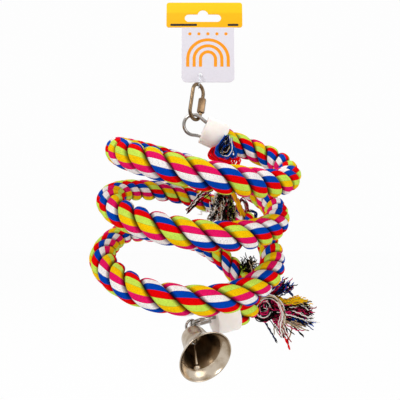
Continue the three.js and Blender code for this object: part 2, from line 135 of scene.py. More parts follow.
# Eyes: a bend on two legs that reach into the cap
EYE_WIRE = 3.8
EYE_RADIUS = 10.8
EYE_REACH = 11.6
EYE_LEG_SPREAD = 16
EYE_LEG_IN_CAP = 8
EYE_LEG_LEAN = 0.2
EYE_MOUTH_DEG = 66
EYE_STEPS = 40
LOWER_EYE_ROLL_DEG = 46

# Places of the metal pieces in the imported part: the origin, and the directions of the Z and X axes
BELL_HINGE = (-0.8439, -0.4813, 0.237)
LINK_PLACE = ((-4.4, 0, -89.2), (0.1392, 0, 0.9903), (0.6365, 0.766, -0.0895))
RING_PLACE = ((-11.9776, -13.8004, -338.4463), (0.4897, -0.8715, -0.0262), BELL_HINGE)
BELL_PLACE = ((-11.5983, -17.724, -345.0639), (0.3907, -0.8541, -0.3433), BELL_HINGE)
CLAPPER_PLACE = ((-9.5667, -22.1653, -346.8491), (0.1274, -0.6089, -0.7829), BELL_HINGE)

# Quick link, in its own frame: heights of the two bends, the rod's ends and stops on its straights
LINK_WIRE = 4.0
LINK_RADIUS = 8.5
LINK_BENDS = (-6.5, -28.5)
ROD_ENDS = (-20.69, -25.09)
ROD_STOPS = (-14, -26.8)
BEND_STEPS = 24

# Sleeve nut
NUT_ENDS = (-26.69, -10.69)
NUT_FLATS = 7.8
NUT_BORE = 4.9
NUT_END_RADIUS = 3.75
NUT_TURNED_RADIUS = 4.6
NUT_CHAMFER = 0.9
NUT_EDGE = 0.12

# Bell, from the crown to the lip: its outline in shares of radius and height, then the rolled lip
BELL_RADIUS = 24.3
BELL_HEIGHT = 34.0
BELL_WALL = 0.9
BELL_OUTLINE = (
    (0.10, 0.0), (0.26, 0.004), (0.39, 0.02), (0.455, 0.06), (0.485, 0.13), (0.51, 0.25), (0.545, 0.40),
    (0.59, 0.54), (0.645, 0.65), (0.70, 0.73), (0.745, 0.775), (0.765, 0.81), (0.82, 0.85),
    (0.895, 0.895), (0.955, 0.945), (0.99, 0.985),
)
BELL_LIP = [(24.35, 34.0), (24.72, 34.5), (24.78, 35.0), (24.4, 35.35), (23.9, 35.2), (23.6, 34.7)]

# Inside the bell, from the crown down to this share of its height, the metal is darker and duller: painted
# shade in the hollow
PAINTED_SHADE_INSIDE_TO = 0.8

# Split ring and clapper: the clapper's outlines are distances from its axis and down from its hinge
RING_RADIUS = 5.4
RING_WIRE = 2.6
HOOK_RADIUS = 3.25
HOOK_WIRE = 1.5
CLAPPER_ROD = ((0, 7.2), (0.7, 7.2), (0.75, 12.4), (1.3, 13.0), (1.4, 24.2), (1.1, 25.1), (0, 25.1))
CLAPPER_FOOT = ((0, 25.0), (1.6, 25.1), (2.6, 25.9), (2.95, 27.2), (2.6, 28.6), (1.6, 29.6), (0, 30.0))

# Header card, in the part's frame: its yellow band, its front, its ink and what the ink draws
YELLOW_TOP = 9.0
YELLOW_FOOT = -20.6
CARD_FRONT = -0.3
INK = 0.05
BAR_HEIGHT = 2.6
BAR_CORNER = 1.25
BAR_UP = -17.6
ARCH_MIDDLE = (5.5, -57.5)
ARCH_RADII = ((20.5, 24.0), (13.5, 17.0), (6.5, 10.0))
ARCH_LEG = 9.0
DOTS = 5
DOT = 3.6
DOT_CORNER = 1.78
DOT_STEP = 10
FIRST_DOT = (-14.5, -28.2)

# Loose yarn: threads narrow to a share of their thickness at the ends, knots scatter by a share of the
# thread's looseness, and crimps grow from the root
THREAD_THICKNESS = 1.1
THREAD_CRIMP = 0.15
THREAD_STEP = 1.8
THREAD_SIDES = 5
THREAD_END = 0.55
THREAD_VARIES = (0.85, 1.15)
CUT_SHORT_AT = (0.2, 0.9)
KNOT_SCATTER = 0.4
CRIMPS = 3
CRIMP_LENGTHS = (5, 12)
CRIMP_GROWS_OVER = 4
YARN_DYES = {
    "black": "#100d0b", "white": "#fdf8f0", "tan": "#c6ad88", "grey": "#8f8478", "pink": "#dc2062",
    "red": "#f4060f", "dark red": "#a01024", "blue": "#0650bd", "navy": "#10246a", "yellow": "#ffc414",
    "lime": "#b6d83e",
}

# Light, with places in metres: the share of plain white in the floor as it is seen, the strength of
# the world round the object and behind it, and each lamp's name, place, size and watts
FLOOR_GLOW = 0.96
WORLD_AROUND = 0.5
WORLD_BEHIND = 0.985
LAMPS_AIM = (0, 0, -0.22)
LAMPS = (
    ("key", (-0.75, -0.95, 0.55), 0.7, 9.5),
    ("fill", (0.95, -0.8, 0.0), 0.8, 4.5),
    ("top", (0.15, 0.35, 0.95), 0.7, 5.0),
)


# An sRGB hex colour as linear values
def linear(hex_colour):
    channels = [int(hex_colour[i:i + 2], 16) / 255 for i in (1, 3, 5)]
    return tuple(c / 12.92 if c <= 0.04045 else ((c + 0.055) / 1.055) ** 2.4 for c in channels) + (1.0,)


# Adds one node; a value that is another node's socket is linked
def node(tree, kind, values=None, stops=(), **settings):
    made = tree.nodes.new(kind)
    for name, value in settings.items():
        setattr(made, name, value)
    for key, value in (values or {}).items():
        if isinstance(value, bpy.types.NodeSocket):
            tree.links.new(value, made.inputs[key])
        else:
            made.inputs[key].default_value = value
    for i, (at, colour) in enumerate(stops):
        elements = made.color_ramp.elements
        stop = elements[i] if i < 2 else elements.new(at)
        stop.position = at
        stop.color = linear(colour)
    return made


# A new material with its node tree, and the place on the object in metres
def new_material(name):
    made = bpy.data.materials.new(name)
    made.use_nodes = True
    tree = made.node_tree
    tree.nodes.clear()
    return made, tree, node(tree, "ShaderNodeTexCoord").outputs["Object"]


# Joins the shader to the output, with relief from a height where there is one
def finish_material(tree, values, height=None, depth_mm=0, strength=0):
    if height is not None:
        bump = {"Height": height, "Distance": depth_mm * MM, "Strength": strength}
        values = {**values, "Normal": node(tree, "ShaderNodeBump", bump).outputs[0]}
    shader = node(tree, "ShaderNodeBsdfPrincipled", values)
    node(tree, "ShaderNodeOutputMaterial", {"Surface": shader.outputs[0]})


# Three-strand rope of soft spun cotton. Each strand is laid up from six dyed yarns, about 4 mm wide,
# so the eye gets broad matt bands with fine lengthwise fibres. Deep in the grooves between the strands
# and in the creases between the yarns the dye is darkened as painted shade.
def cotton_rope():
    made, tree, spot = new_material("spun_cotton_rope")
    place = node(tree, "ShaderNodeUVMap", uv_map="strand").outputs[0]
    parts = node(tree, "ShaderNodeSeparateXYZ", {0: place})
    band = parts.outputs[0]
    along = parts.outputs[1]
    sixth = node(tree, "ShaderNodeMath", {0: band, 1: 6.0}, operation="DIVIDE").outputs[0]
    cycle = node(tree, "ShaderNodeMath", {0: sixth}, operation="FRACT").outputs[0]
    dyes = [(i / 6, colour) for i, colour in enumerate(ROPE_DYES)]
    dyed = node(tree, "ShaderNodeValToRGB", {"Fac": cycle}, dyes)
    dyed.color_ramp.interpolation = "CONSTANT"

    # Each yarn is four plies wide, and its fibres are drawn about 0.4 mm apart, coarser than real ones
    ply_turn = node(tree, "ShaderNodeMath", {0: band, 1: math.pi * 4}, operation="MULTIPLY").outputs[0]
    ply_wave = node(tree, "ShaderNodeMath", {0: ply_turn}, operation="SINE").outputs[0]
    plies = node(tree, "ShaderNodeMath", {0: ply_wave}, operation="ABSOLUTE").outputs[0]
    # Where two yarns meet, for the painted shade in the crease between them
    yarn_crease_turn = node(tree, "ShaderNodeMath", {0: band, 1: math.pi}, operation="MULTIPLY").outputs[0]
    yarn_crease_wave = node(tree, "ShaderNodeMath", {0: yarn_crease_turn}, operation="SINE").outputs[0]
    yarn_crease_shade = node(tree, "ShaderNodeMath", {0: yarn_crease_wave}, operation="ABSOLUTE").outputs[0]
    across = node(tree, "ShaderNodeMath", {0: band, 1: 9.0}, operation="MULTIPLY").outputs[0]
    lengthwise = node(tree, "ShaderNodeMath", {0: along, 1: 0.55}, operation="MULTIPLY").outputs[0]
    fibre_place = node(tree, "ShaderNodeCombineXYZ", {0: across, 1: lengthwise}).outputs[0]
    fibre_look = {"Vector": fibre_place, "Scale": 1.6, "Detail": 5.0, "Roughness": 0.7}
    fibres = node(tree, "ShaderNodeTexNoise", fibre_look).outputs["Fac"]

    # Handling dirt and uneven dye, in patches about 8 mm across
    patch_look = {"Vector": spot, "Scale": 0.12 / MM, "Detail": 2.0}
    patches = node(tree, "ShaderNodeTexNoise", patch_look).outputs["Fac"]

    # How deep a point lies between the strands comes with the mesh, from 0 on a crest to 1. Deep in
    # the grooves it darkens the dye as painted shade.
    groove_shade_depth = node(tree, "ShaderNodeAttribute", attribute_name="groove_shade_depth").outputs["Fac"]

    # Each shade darkens the dye by its own share. A Mix node takes the share at 0, and colours at 6 and 7.
    toned = dyed.outputs[0]
    for value, stops, share in (
        (fibres, [(0.34, "#4c4c4c"), (0.47, "#ffffff")], 0.7),
        (patches, [(0.3, "#d2d2d2"), (0.65, "#ffffff")], 0.2),
        # Painted shade, darkest deep in the grooves between the strands
        (groove_shade_depth, [(0.66, "#ffffff"), (0.88, "#a79ea2"), (1.0, "#33282d")], 1.0),
        # Painted shade in the narrow creases between the yarns
        (yarn_crease_shade, [(0.0, "#8c8587"), (0.16, "#ffffff")], 0.5),
    ):
        shade = node(tree, "ShaderNodeValToRGB", {"Fac": value}, stops).outputs[0]
        look = {0: share, 6: toned, 7: shade}
        toned = node(tree, "ShaderNodeMix", look, data_type="RGBA", blend_type="MULTIPLY").outputs[2]

    ply_height = node(tree, "ShaderNodeMath", {0: plies, 1: 0.5}, operation="MULTIPLY").outputs[0]
    height = node(tree, "ShaderNodeMath", {0: fibres, 1: ply_height}, operation="ADD").outputs[0]
    values = {"Base Color": toned, "Roughness": 0.9, "Specular IOR Level": 0.03}
    finish_material(tree, values, height, 0.5, 0.85)
    return made


# Loose ends of the same spun and dyed cotton: matt threads, with the light and dark specks of their
# twist, drawn about 0.7 mm apart
def cotton_yarn():
    made, tree, spot = new_material("loose_cotton_yarn")
    dyed = node(tree, "ShaderNodeAttribute", attribute_name="dye").outputs["Color"]
    twist = {"Vector": spot, "Scale": 1.4 / MM, "Detail": 4.0, "Roughness": 0.7}
    specks = node(tree, "ShaderNodeTexNoise", twist).outputs["Fac"]
    stops = [(0.32, "#909090"), (0.6, "#ffffff")]
    shade = node(tree, "ShaderNodeValToRGB", {"Fac": specks}, stops).outputs[0]
    look = {0: 0.4, 6: dyed, 7: shade}
    toned = node(tree, "ShaderNodeMix", look, data_type="RGBA", blend_type="MULTIPLY").outputs[2]
    values = {"Base Color": toned, "Roughness": 0.9, "Specular IOR Level": 0.04}
    finish_material(tree, values, specks, 0.3, 0.7)
    return made


# Injection moulded polyethylene: milky and slightly see-through, satin, with a faint orange peel
# about 0.9 mm across and softly clouded wear
def moulded_plastic():
    made, tree, spot = new_material("moulded_white_polyethylene")
    cloud_look = {"Vector": spot, "Scale": 0.08 / MM, "Detail": 3.0}
    cloud = node(tree, "ShaderNodeTexNoise", cloud_look).outputs["Fac"]
    peel_look = {"Vector": spot, "Scale": 1.1 / MM, "Detail": 2.0}
    peel = node(tree, "ShaderNodeTexNoise", peel_look).outputs["Fac"]
    stops = [(0.3, "#f1e9e2"), (0.7, "#faf4ee")]
    colour = node(tree, "ShaderNodeValToRGB", {"Fac": cloud}, stops).outputs[0]
    spread = {"Value": cloud, "From Min": 0.3, "From Max": 0.7, "To Min": 0.4, "To Max": 0.55}
    rough = node(tree, "ShaderNodeMapRange", spread).outputs[0]
    values = {
        "Base Color": colour, "Roughness": rough, "Subsurface Weight": 0.15, "Subsurface Scale": 2 * MM,
    }
    finish_material(tree, values, peel, 0.06, 0.5)
    return made


# Drawn, turned or spun metal: an even tone that clouds slightly with tarnish, and fine tool marks
# that spread the highlight. The marks are drawn as coarse as they need to show.
def metal(name, tarnished, clean, smoothest, roughest, mark_mm):
    made, tree, spot = new_material(name)
    tarnish_look = {"Vector": spot, "Scale": 0.09 / MM, "Detail": 3.0}
    tarnish = node(tree, "ShaderNodeTexNoise", tarnish_look).outputs["Fac"]
    mark_look = {"Vector": spot, "Scale": 1 / (mark_mm * MM), "Detail": 4.0, "Roughness": 0.6}
    marks = node(tree, "ShaderNodeTexNoise", mark_look).outputs["Fac"]
    stops = [(0.3, tarnished), (0.6, clean)]
    colour = node(tree, "ShaderNodeValToRGB", {"Fac": tarnish}, stops).outputs[0]
    spread = {"Value": marks, "From Min": 0.3, "From Max": 0.7, "To Min": smoothest, "To Max": roughest}
    rough = node(tree, "ShaderNodeMapRange", spread).outputs[0]
    values = {"Base Color": colour, "Metallic": 1.0, "Roughness": rough}
    finish_material(tree, values, marks, 0.02, 0.3)
    return made


# Extruded nylon line: clear and glossy, faintly milky inside
def nylon():
    made, tree, spot = new_material("clear_nylon_line")
    milk_look = {"Vector": spot, "Scale": 0.6 / MM, "Detail": 2.0}
    milk = node(tree, "ShaderNodeTexNoise", milk_look).outputs["Fac"]
    stops = [(0.3, "#dfe6ea"), (0.7, "#f4f8fa")]
    colour = node(tree, "ShaderNodeValToRGB", {"Fac": milk}, stops).outputs[0]
    finish_material(tree, {"Base Color": colour, "Roughness": 0.18, "Transmission Weight": 0.6})
    return made


# Poured and set resin, hidden in the caps: honey coloured and half matt, with lumps of about 3 mm
def resin():
    made, tree, spot = new_material("set_resin")
    lump_look = {"Vector": spot, "Scale": 0.3 / MM, "Detail": 4.0}
    lumps = node(tree, "ShaderNodeTexNoise", lump_look).outputs["Fac"]
    stops = [(0.3, "#c2b699"), (0.7, "#dcd2ba")]
    colour = node(tree, "ShaderNodeValToRGB", {"Fac": lumps}, stops).outputs[0]
    finish_material(tree, {"Base Color": colour, "Roughness": 0.55}, lumps, 0.2, 0.5)
    return made


# A printed colour on folding board, darkened and raised by the board's tooth of about 0.8 mm
def finish_print(tree, spot, colour, darkest, share, roughness):
    tooth_look = {"Vector": spot, "Scale": 1.2 / MM, "Detail": 4.0}
    tooth = node(tree, "ShaderNodeTexNoise", tooth_look).outputs["Fac"]
    stops = [(0.3, darkest), (0.7, "#ffffff")]
    shade = node(tree, "ShaderNodeValToRGB", {"Fac": tooth}, stops).outputs[0]
    look = {0: share, 6: colour, 7: shade}
    toned = node(tree, "ShaderNodeMix", look, data_type="RGBA", blend_type="MULTIPLY").outputs[2]
    values = {"Base Color": toned, "Roughness": roughness, "Specular IOR Level": 0.25}
    finish_material(tree, values, tooth, 0.02, 0.4)


# Printed and varnished folding board: a yellow band that deepens towards its foot, over a pale grey
# panel, with the paper's tooth under the varnish
def printed_board():
    made, tree, spot = new_material("varnished_printed_board")
    height = node(tree, "ShaderNodeSeparateXYZ", {0: spot}).outputs[2]
    foot = YELLOW_FOOT * MM
    reach = {"Value": height, "From Min": foot, "From Max": YELLOW_TOP * MM}
    up_band = node(tree, "ShaderNodeMapRange", reach).outputs[0]
    stops = [(0.0, "#f6b200"), (0.55, "#f7b904"), (0.62, "#f9c60b"), (1.0, "#fbcb10")]
    yellow = node(tree, "ShaderNodeValToRGB", {"Fac": up_band}, stops).outputs[0]
    on_band = node(tree, "ShaderNodeMath", {0: height, 1: foot}, operation="GREATER_THAN").outputs[0]
    look = {0: on_band, 6: linear("#dcd8e0"), 7: yellow}
    printed = node(tree, "ShaderNodeMix", look, data_type="RGBA").outputs[2]
    finish_print(tree, spot, printed, "#dcdcdc", 0.2, 0.5)
    return made


# Offset printing ink: a thin satin layer that shows the board's tooth
def ink(name, colour):
    made, tree, spot = new_material(name)
    finish_print(tree, spot, linear(colour), "#d0d0d0", 0.25, 0.45)
    return made


plastic = moulded_plastic()
yarn_finish = cotton_yarn()
charcoal = ink("charcoal_ink", "#1d1b1c")
orange = ink("orange_ink", "#f7990c")

# Drawn and polished steel wire: grey, with a narrow highlight
bright_steel = metal("polished_steel_wire", "#7c7772", "#aca7a2", 0.1, 0.24, 1.4)

# Bronzed steel: brown, the bent rod glossier than the turned nut
bronzed_rod = metal("bronzed_steel_rod", "#4e3e2e", "#806b52", 0.16, 0.3, 1.2)
bronzed_nut = metal("bronzed_steel_nut", "#624d39", "#8d7256", 0.24, 0.42, 1.0)

# Spun brass with nickel plating: warm and pale, with a soft highlight. Deep inside the bell a darker brown
# copy of it is painted shade in the hollow, and it is rougher there too.
nickel = metal("nickel_plated_brass", "#9a8870", "#c2b4a2", 0.17, 0.26, 3.0)
nickel_painted_shade = metal("nickel_plated_brass_painted_shade", "#5a4834", "#8a755c", 0.26, 0.4, 3.0)


# Modelling: selects one piece and nothing else
def select_only(obj):
    bpy.ops.object.select_all(action="DESELECT")
    obj.select_set(True)
    bpy.context.view_layer.objects.active = obj


def object_mode():
    bpy.ops.object.mode_set(mode="OBJECT")


# Opens a piece in edit mode with all of it selected
def edit(obj):
    if bpy.context.mode != "OBJECT":
        object_mode()
    select_only(obj)
    bpy.ops.object.mode_set(mode="EDIT")
    bpy.ops.mesh.select_all(action="SELECT")


def apply_modifier(obj, kind, **settings):
    bpy.context.view_layer.objects.active = obj
    made = obj.modifiers.new(kind.lower(), kind)
    for name, value in settings.items():
        setattr(made, name, value)
    bpy.ops.object.modifier_apply(modifier=made.name)


# Merges doubles and turns all faces outwards
def weld(obj):
    edit(obj)
    bpy.ops.mesh.remove_doubles(threshold=1e-4)
    bpy.ops.mesh.normals_make_consistent(inside=False)
    object_mode()


# A line of joined points, drawn by moving and extruding a single vertex
def drawn_line(name, points, closed=False):
    bpy.ops.object.select_all(action="DESELECT")
    bpy.ops.mesh.primitive_plane_add(size=1.0, location=(0, 0, 0))
    obj = bpy.context.object
    obj.name = name
    obj.data.name = name
    edit(obj)
    bpy.ops.mesh.merge(type="CENTER")
    bpy.ops.transform.translate(value=points[0])
    for before, after in zip(points, points[1:]):
        step = [b - a for a, b in zip(before, after)]
        bpy.ops.mesh.extrude_region_move(TRANSFORM_OT_translate={"value": step})
    if closed:
        bpy.ops.mesh.select_all(action="DESELECT")
        object_mode()
        obj.data.vertices[0].select = True
        obj.data.vertices[len(points) - 1].select = True
        bpy.ops.object.mode_set(mode="EDIT")
        bpy.ops.mesh.edge_face_add()
    object_mode()
    return obj


# Puts a finished piece in its place, with its material and body
def settle(obj, matrix, material, body, smooth_deg):
    obj.data.transform(matrix)
    obj.data.materials.clear()
    obj.data.materials.append(material)
    select_only(obj)
    bpy.ops.object.shade_smooth_by_angle(angle=math.radians(smooth_deg))
    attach(obj, body)


# A turned piece: the outline is spun round the local Z axis
def turned(name, outline, steps=72):
    obj = drawn_line(name, [(r, 0, z) for r, z in outline])
    edit(obj)
    bpy.ops.mesh.spin(steps=steps, angle=2 * math.pi, center=(0, 0, 0), axis=(0, 0, 1))
    weld(obj)
    return obj


# A bent wire: a drawn line given a round section
def bent_wire(name, points, diameter, closed, sides):
    obj = drawn_line(name, points, closed)
    select_only(obj)
    bpy.ops.object.convert(target="CURVE")
    obj.data.bevel_depth = diameter / 2
    obj.data.bevel_resolution = sides
    obj.data.use_fill_caps = not closed
    bpy.ops.object.convert(target="MESH")
    weld(obj)
    return obj


# A smooth piece from points in the perch's frame
def mesh_piece(name, positions, faces, material):
    mesh = bpy.data.meshes.new(name)
    mesh.from_pydata([tuple(p) for p in positions], [], faces)
    mesh.transform(PERCH)
    mesh.materials.append(material)
    mesh.polygons.foreach_set("use_smooth", [True] * len(mesh.polygons))
    mesh.update()
    obj = bpy.data.objects.new(name, mesh)
    bpy.context.scene.collection.objects.link(obj)
    return obj


# A direction from its compass bearing, where 0 is towards the viewer, and its rise
def bearing(azimuth_deg, rise_deg):
    azimuth = math.radians(azimuth_deg)
    rise = math.radians(rise_deg)
    level = math.cos(rise)
    return Vector((math.sin(azimuth) * level, -math.cos(azimuth) * level, math.sin(rise)))


# A frame at a place, from its Z axis and a direction near its X axis
def facing(origin, z_axis, x_hint):
    z = Vector(z_axis).normalized()
    hint = Vector(x_hint)
    x = (hint - z * hint.dot(z)).normalized()
    y = z.cross(x)
    made = Matrix((x, y, z)).transposed().to_4x4()
    made.translation = Vector(origin)
    return made


# Rope route: a point of the coil, after a number of turns
def coil_point(turn):
    down = turn - COIL_TURNS[1]
    angle = -2 * math.pi * turn
    r = COIL_RADIUS + COIL_GROWTH * down
    x = r * math.cos(angle)
    y = COIL_DEPTH_RATIO * r * math.sin(angle)
    tilt = math.radians(COIL_TILT_DEG + COIL_TILT_CHANGE_DEG * down)
    lean = math.radians(COIL_LEAN_CHANGE_DEG * down)
    drop = COIL_PITCH * down + COIL_PITCH_GROWTH * down * down / 2
    return (
        COIL_CENTRE_X + x * math.cos(tilt) + COIL_DRIFT[0] * down,
        y * math.cos(lean) + COIL_DRIFT[1] * down,
        -drop - x * math.sin(tilt) + y * math.sin(lean),
    )


# A point on a cap's axis, at a distance from its closed end
def along_cap(place, distance):
    end, azimuth, fall = place
    return Vector(end) + bearing(azimuth, -fall) * distance


# Centripetal Catmull-Rom, sampled finely between knots
def smooth_route(knots, fineness=24):
    p = [np.array(k, float) for k in knots]
    p = [2 * p[0] - p[1]] + p + [2 * p[-1] - p[-2]]
    out = []
    for i in range(1, len(p) - 2):
        a, b, c, d = p[i - 1:i + 3]
        t1 = np.linalg.norm(b - a) ** 0.5
        t2 = t1 + np.linalg.norm(c - b) ** 0.5
        t3 = t2 + np.linalg.norm(d - c) ** 0.5
        for k in range(fineness):
            t = t1 + (t2 - t1) * k / fineness
            ab = (t1 - t) / t1 * a + t / t1 * b
            bc = (t2 - t) / (t2 - t1) * b + (t - t1) / (t2 - t1) * c
            cd = (t3 - t) / (t3 - t2) * c + (t - t2) / (t3 - t2) * d
            abc = (t2 - t) / t2 * ab + t / t2 * bc
            bcd = (t3 - t) / (t3 - t1) * bc + (t - t1) / (t3 - t1) * cd
            out.append((t2 - t) / (t2 - t1) * abc + (t - t1) / (t2 - t1) * bcd)
    out.append(p[-2])
    return np.array(out)


# Points at even steps along a line, and their distances from its start
def evenly(points, step):
    lengths = np.concatenate([[0], np.cumsum(np.linalg.norm(np.diff(points, axis=0), axis=1))])
    count = max(2, int(round(lengths[-1] / step)) + 1)
    at = np.linspace(0, lengths[-1], count)
    return np.stack([np.interp(at, lengths, points[:, k]) for k in range(3)], 1), at


def rope_knots():
    straight = (CAP_LENGTH + 1, CAP_LENGTH + ROPE_STRAIGHT)
    knots = [along_cap(UPPER_CAP, d) for d in (ROPE_START_IN_CAP, *straight)] + list(UPPER_RUN)
    first, _, last = COIL_TURNS
    steps = round((last - first) * KNOTS_PER_TURN)
    knots += [coil_point(first + (last - first) * i / steps) for i in range(steps + 1)]
    knots += list(LOWER_RUN) + [along_cap(LOWER_CAP, d) for d in (*reversed(straight), ROPE_START_IN_CAP)]
    return knots


# Directions along a line and across it, which turn as little as they can from point to point
def frames_along(points):
    tangents = np.gradient(points, axis=0)
    tangents /= np.linalg.norm(tangents, axis=1)[:, None]
    side = np.array([0.0, 0.0, 1.0])
    sides = []
    for t in tangents:
        side = side - t * side.dot(t)
        side /= np.linalg.norm(side)
        sides.append(side)
    sides = np.array(sides)
    return tangents, sides, np.cross(tangents, sides)


# Adds a tube with closed ends along a line
def add_tube(positions, faces, line, radius, end_radius, sides):
    _, across, over = frames_along(line)
    first = len(positions)
    last = len(line) - 1
    for i, centre in enumerate(line):
        r = end_radius if i in (0, last) else radius
        for k in range(sides):
            a = 2 * math.pi * k / sides
            positions.append(centre + r * (math.cos(a) * across[i] + math.sin(a) * over[i]))
    for i in range(last):
        row = first + i * sides
        for k in range(sides):
            a = row + k
            b = row + (k + 1) % sides
            faces.append((a, b, b + sides, a + sides))
    end = first + last * sides
    faces.append(tuple(reversed(range(first, first + sides))))
    faces.append(tuple(range(end, end + sides)))


# The radius of the rope at an angle from a strand's crest: each strand is an oval round its own middle
def strand_radius(delta):
    centre = ROPE_DIAMETER / 2 - STRAND_THICKNESS
    c, s = math.cos(delta), math.sin(delta)
    a = (c / STRAND_THICKNESS) ** 2 + (s / STRAND_WIDTH) ** 2
    b = -2 * c * centre / STRAND_THICKNESS ** 2
    d = (centre / STRAND_THICKNESS) ** 2 - 1
    return (-b + math.sqrt(max(0.0, b * b - 4 * a * d))) / (2 * a)


def column_angle(column):
    return THIRD_TURN * (column / COLUMNS - 0.5)


# Where the first strand's crest has turned to, at a length along the rope
def strand_crest(length):
    ahead = float(np.interp(length, TWIST_PLACES, TWIST_AHEAD_DEG))
    return math.radians(FIRST_PHASE_DEG + ahead) + 2 * math.pi * length / ROPE_LAY


# The count of yarn bands, at a length along the rope and an angle from a strand's crest
def strand_band(length, strand, delta):
    angle = strand_crest(length) + strand * THIRD_TURN + delta
    roll = float(np.interp(length, ROLL_PLACES, STRAND_ROLL[strand]))
    return -STRIPES_PER_LAY * angle / (2 * math.pi) + roll


# Rings of points round the rope's middle, and how deep each lies between the strands
def rope_points(centres, at):
    _, sides, others = frames_along(centres)
    positions = []
    grooves = []
    for i, s in enumerate(at):
        crest = strand_crest(s)
        for j in range(AROUND):
            strand, column = divmod(j, COLUMNS)
            delta = column_angle(column)
            angle = crest + strand * THIRD_TURN + delta
            swell = math.sqrt(abs(math.sin(math.pi * strand_band(s, strand, delta)))) - BAND_LEVEL
            r = strand_radius(delta) + BAND_RISE * swell * math.cos(BAND_FADE * delta)
            positions.append(centres[i] + r * (math.cos(angle) * sides[i] + math.sin(angle) * others[i]))
            grooves.append(abs(delta) / (THIRD_TURN / 2))
    return positions, grooves


# Faces between the rings and over both ends, and the band and the length at each corner
def rope_faces(at):
    faces = []
    corners = []
    for i in range(len(at) - 1):
        for j in range(AROUND):
            strand, column = divmod(j, COLUMNS)
            k = (j + 1) % AROUND
            faces.append((i * AROUND + j, i * AROUND + k, (i + 1) * AROUND + k, (i + 1) * AROUND + j))
            for row, col in ((0, column), (0, column + 1), (1, column + 1), (1, column)):
                band = strand_band(at[i + row], strand, column_angle(col))
                corners.append((band + FIRST_BAND, at[i + row] + strand * FIBRE_SHIFT))
    last = (len(at) - 1) * AROUND
    faces.append(tuple(reversed(range(AROUND))))
    faces.append(tuple(last + j for j in range(AROUND)))
    corners += [(0.5, 0.0)] * (2 * AROUND)
    return faces, corners


# The rope, its middle line and its length in metres
def build_rope():
    centres, at = evenly(smooth_route(rope_knots()), ROPE_STEP)
    positions, grooves = rope_points(centres, at)
    faces, corners = rope_faces(at)
    obj = mesh_piece("rope_strands", positions, faces, cotton_rope())
    uv = obj.data.uv_layers.new(name="strand")
    uv.data.foreach_set("uv", np.array(corners, np.float32).ravel())
    groove_shade_depth = obj.data.attributes.new("groove_shade_depth", "FLOAT", "POINT")
    groove_shade_depth.data.foreach_set("value", np.array(grooves, np.float32))
    return obj, centres, at[-1] * MM


rope, rope_line, rope_length = build_rope()
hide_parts("rope")
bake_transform(rope)


# The wire inside the rope follows its middle line, and its ends reach into the set resin in the caps
def core_wire():
    line, _ = evenly(rope_line, CORE_WIRE_STEP)
    first = line[0] - line[1]
    last = line[-1] - line[-2]
    start = line[0] + first / np.linalg.norm(first) * CORE_WIRE_TAIL
    end = line[-1] + last / np.linalg.norm(last) * CORE_WIRE_TAIL
    positions = []
    faces = []
    radius = CORE_WIRE / 2
    add_tube(positions, faces, np.vstack([start, line, end]), radius, radius, CORE_WIRE_SIDES)
    obj = mesh_piece("steel_core_wire", positions, faces, bright_steel)
    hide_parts("core_wire")
    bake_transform(obj)


core_wire()


# A cap: its closed end is slightly dished, its side swells a little, and every edge is eased
def cap(name, matrix, body, node_name):
    r = CAP_DIAMETER / 2
    bore = CAP_BORE / 2
    end = CAP_LENGTH
    outline = [(0, CAP_DISH), (r - 4.5, CAP_DISH / 2), (r - 1.9, 0)]
    for degrees in (15, 35, 55, 75, 90):
        a = math.radians(degrees)
        outline.append((r - CAP_ROUND + CAP_ROUND * math.sin(a), CAP_ROUND - CAP_ROUND * math.cos(a)))
    outline += [(r, 6), (r + CAP_SWELL, 14), (r, end - 0.8), (r - 0.25, end - 0.2), (r - 0.8, end)]
    outline += [(bore + 0.6, end), (bore + 0.15, end - 0.3), (bore, end - 1)]
    outline += [(bore, CAP_FLOOR + 0.6), (bore - 0.6, CAP_FLOOR), (0, CAP_FLOOR)]
    obj = turned(name, outline)
    settle(obj, PERCH @ matrix, plastic, body, 35)
    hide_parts(node_name)


def eye(name, matrix, body, node_name):
    half = EYE_LEG_SPREAD / 2
    mouth = math.radians(EYE_MOUTH_DEG)
    leg = [(half, 0, EYE_LEG_IN_CAP), (half, 0, 2), (half + EYE_LEG_LEAN, 0, -1)]
    bend = []
    for i in range(EYE_STEPS + 1):
        a = mouth + (2 * math.pi - 2 * mouth) * i / EYE_STEPS
        bend.append((EYE_RADIUS * math.sin(a), 0, -EYE_REACH + EYE_RADIUS * math.cos(a)))
    other_leg = [(-x, y, z) for x, y, z in reversed(leg)]
    obj = bent_wire(name, leg + bend + other_leg, EYE_WIRE, closed=False, sides=5)
    settle(obj, PERCH @ matrix, bright_steel, body, 50)
    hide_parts(node_name)


upper_frame = facing(UPPER_CAP[0], bearing(UPPER_CAP[1], -UPPER_CAP[2]), UP)
eye_roll = math.radians(LOWER_EYE_ROLL_DEG)
lower_side = bearing(LOWER_CAP[1] - 90, 0) * math.cos(eye_roll) + UP * math.sin(eye_roll)
lower_frame = facing(LOWER_CAP[0], bearing(LOWER_CAP[1], -LOWER_CAP[2]), lower_side)
cap("upper_ferrule", upper_frame, "perch", "upper_cap")
cap("lower_ferrule", lower_frame, "lower_end", "lower_cap")
eye("upper_wire_eye", upper_frame, "perch", "upper_eye")
eye("lower_wire_eye", lower_frame, "lower_end", "lower_eye")

# Frames of the metal pieces
LINK = Matrix.Scale(MM, 4) @ facing(*LINK_PLACE)
RING = Matrix.Scale(MM, 4) @ facing(*RING_PLACE)
BELL = Matrix.Scale(MM, 4) @ facing(*BELL_PLACE)
CLAPPER = Matrix.Scale(MM, 4) @ facing(*CLAPPER_PLACE)


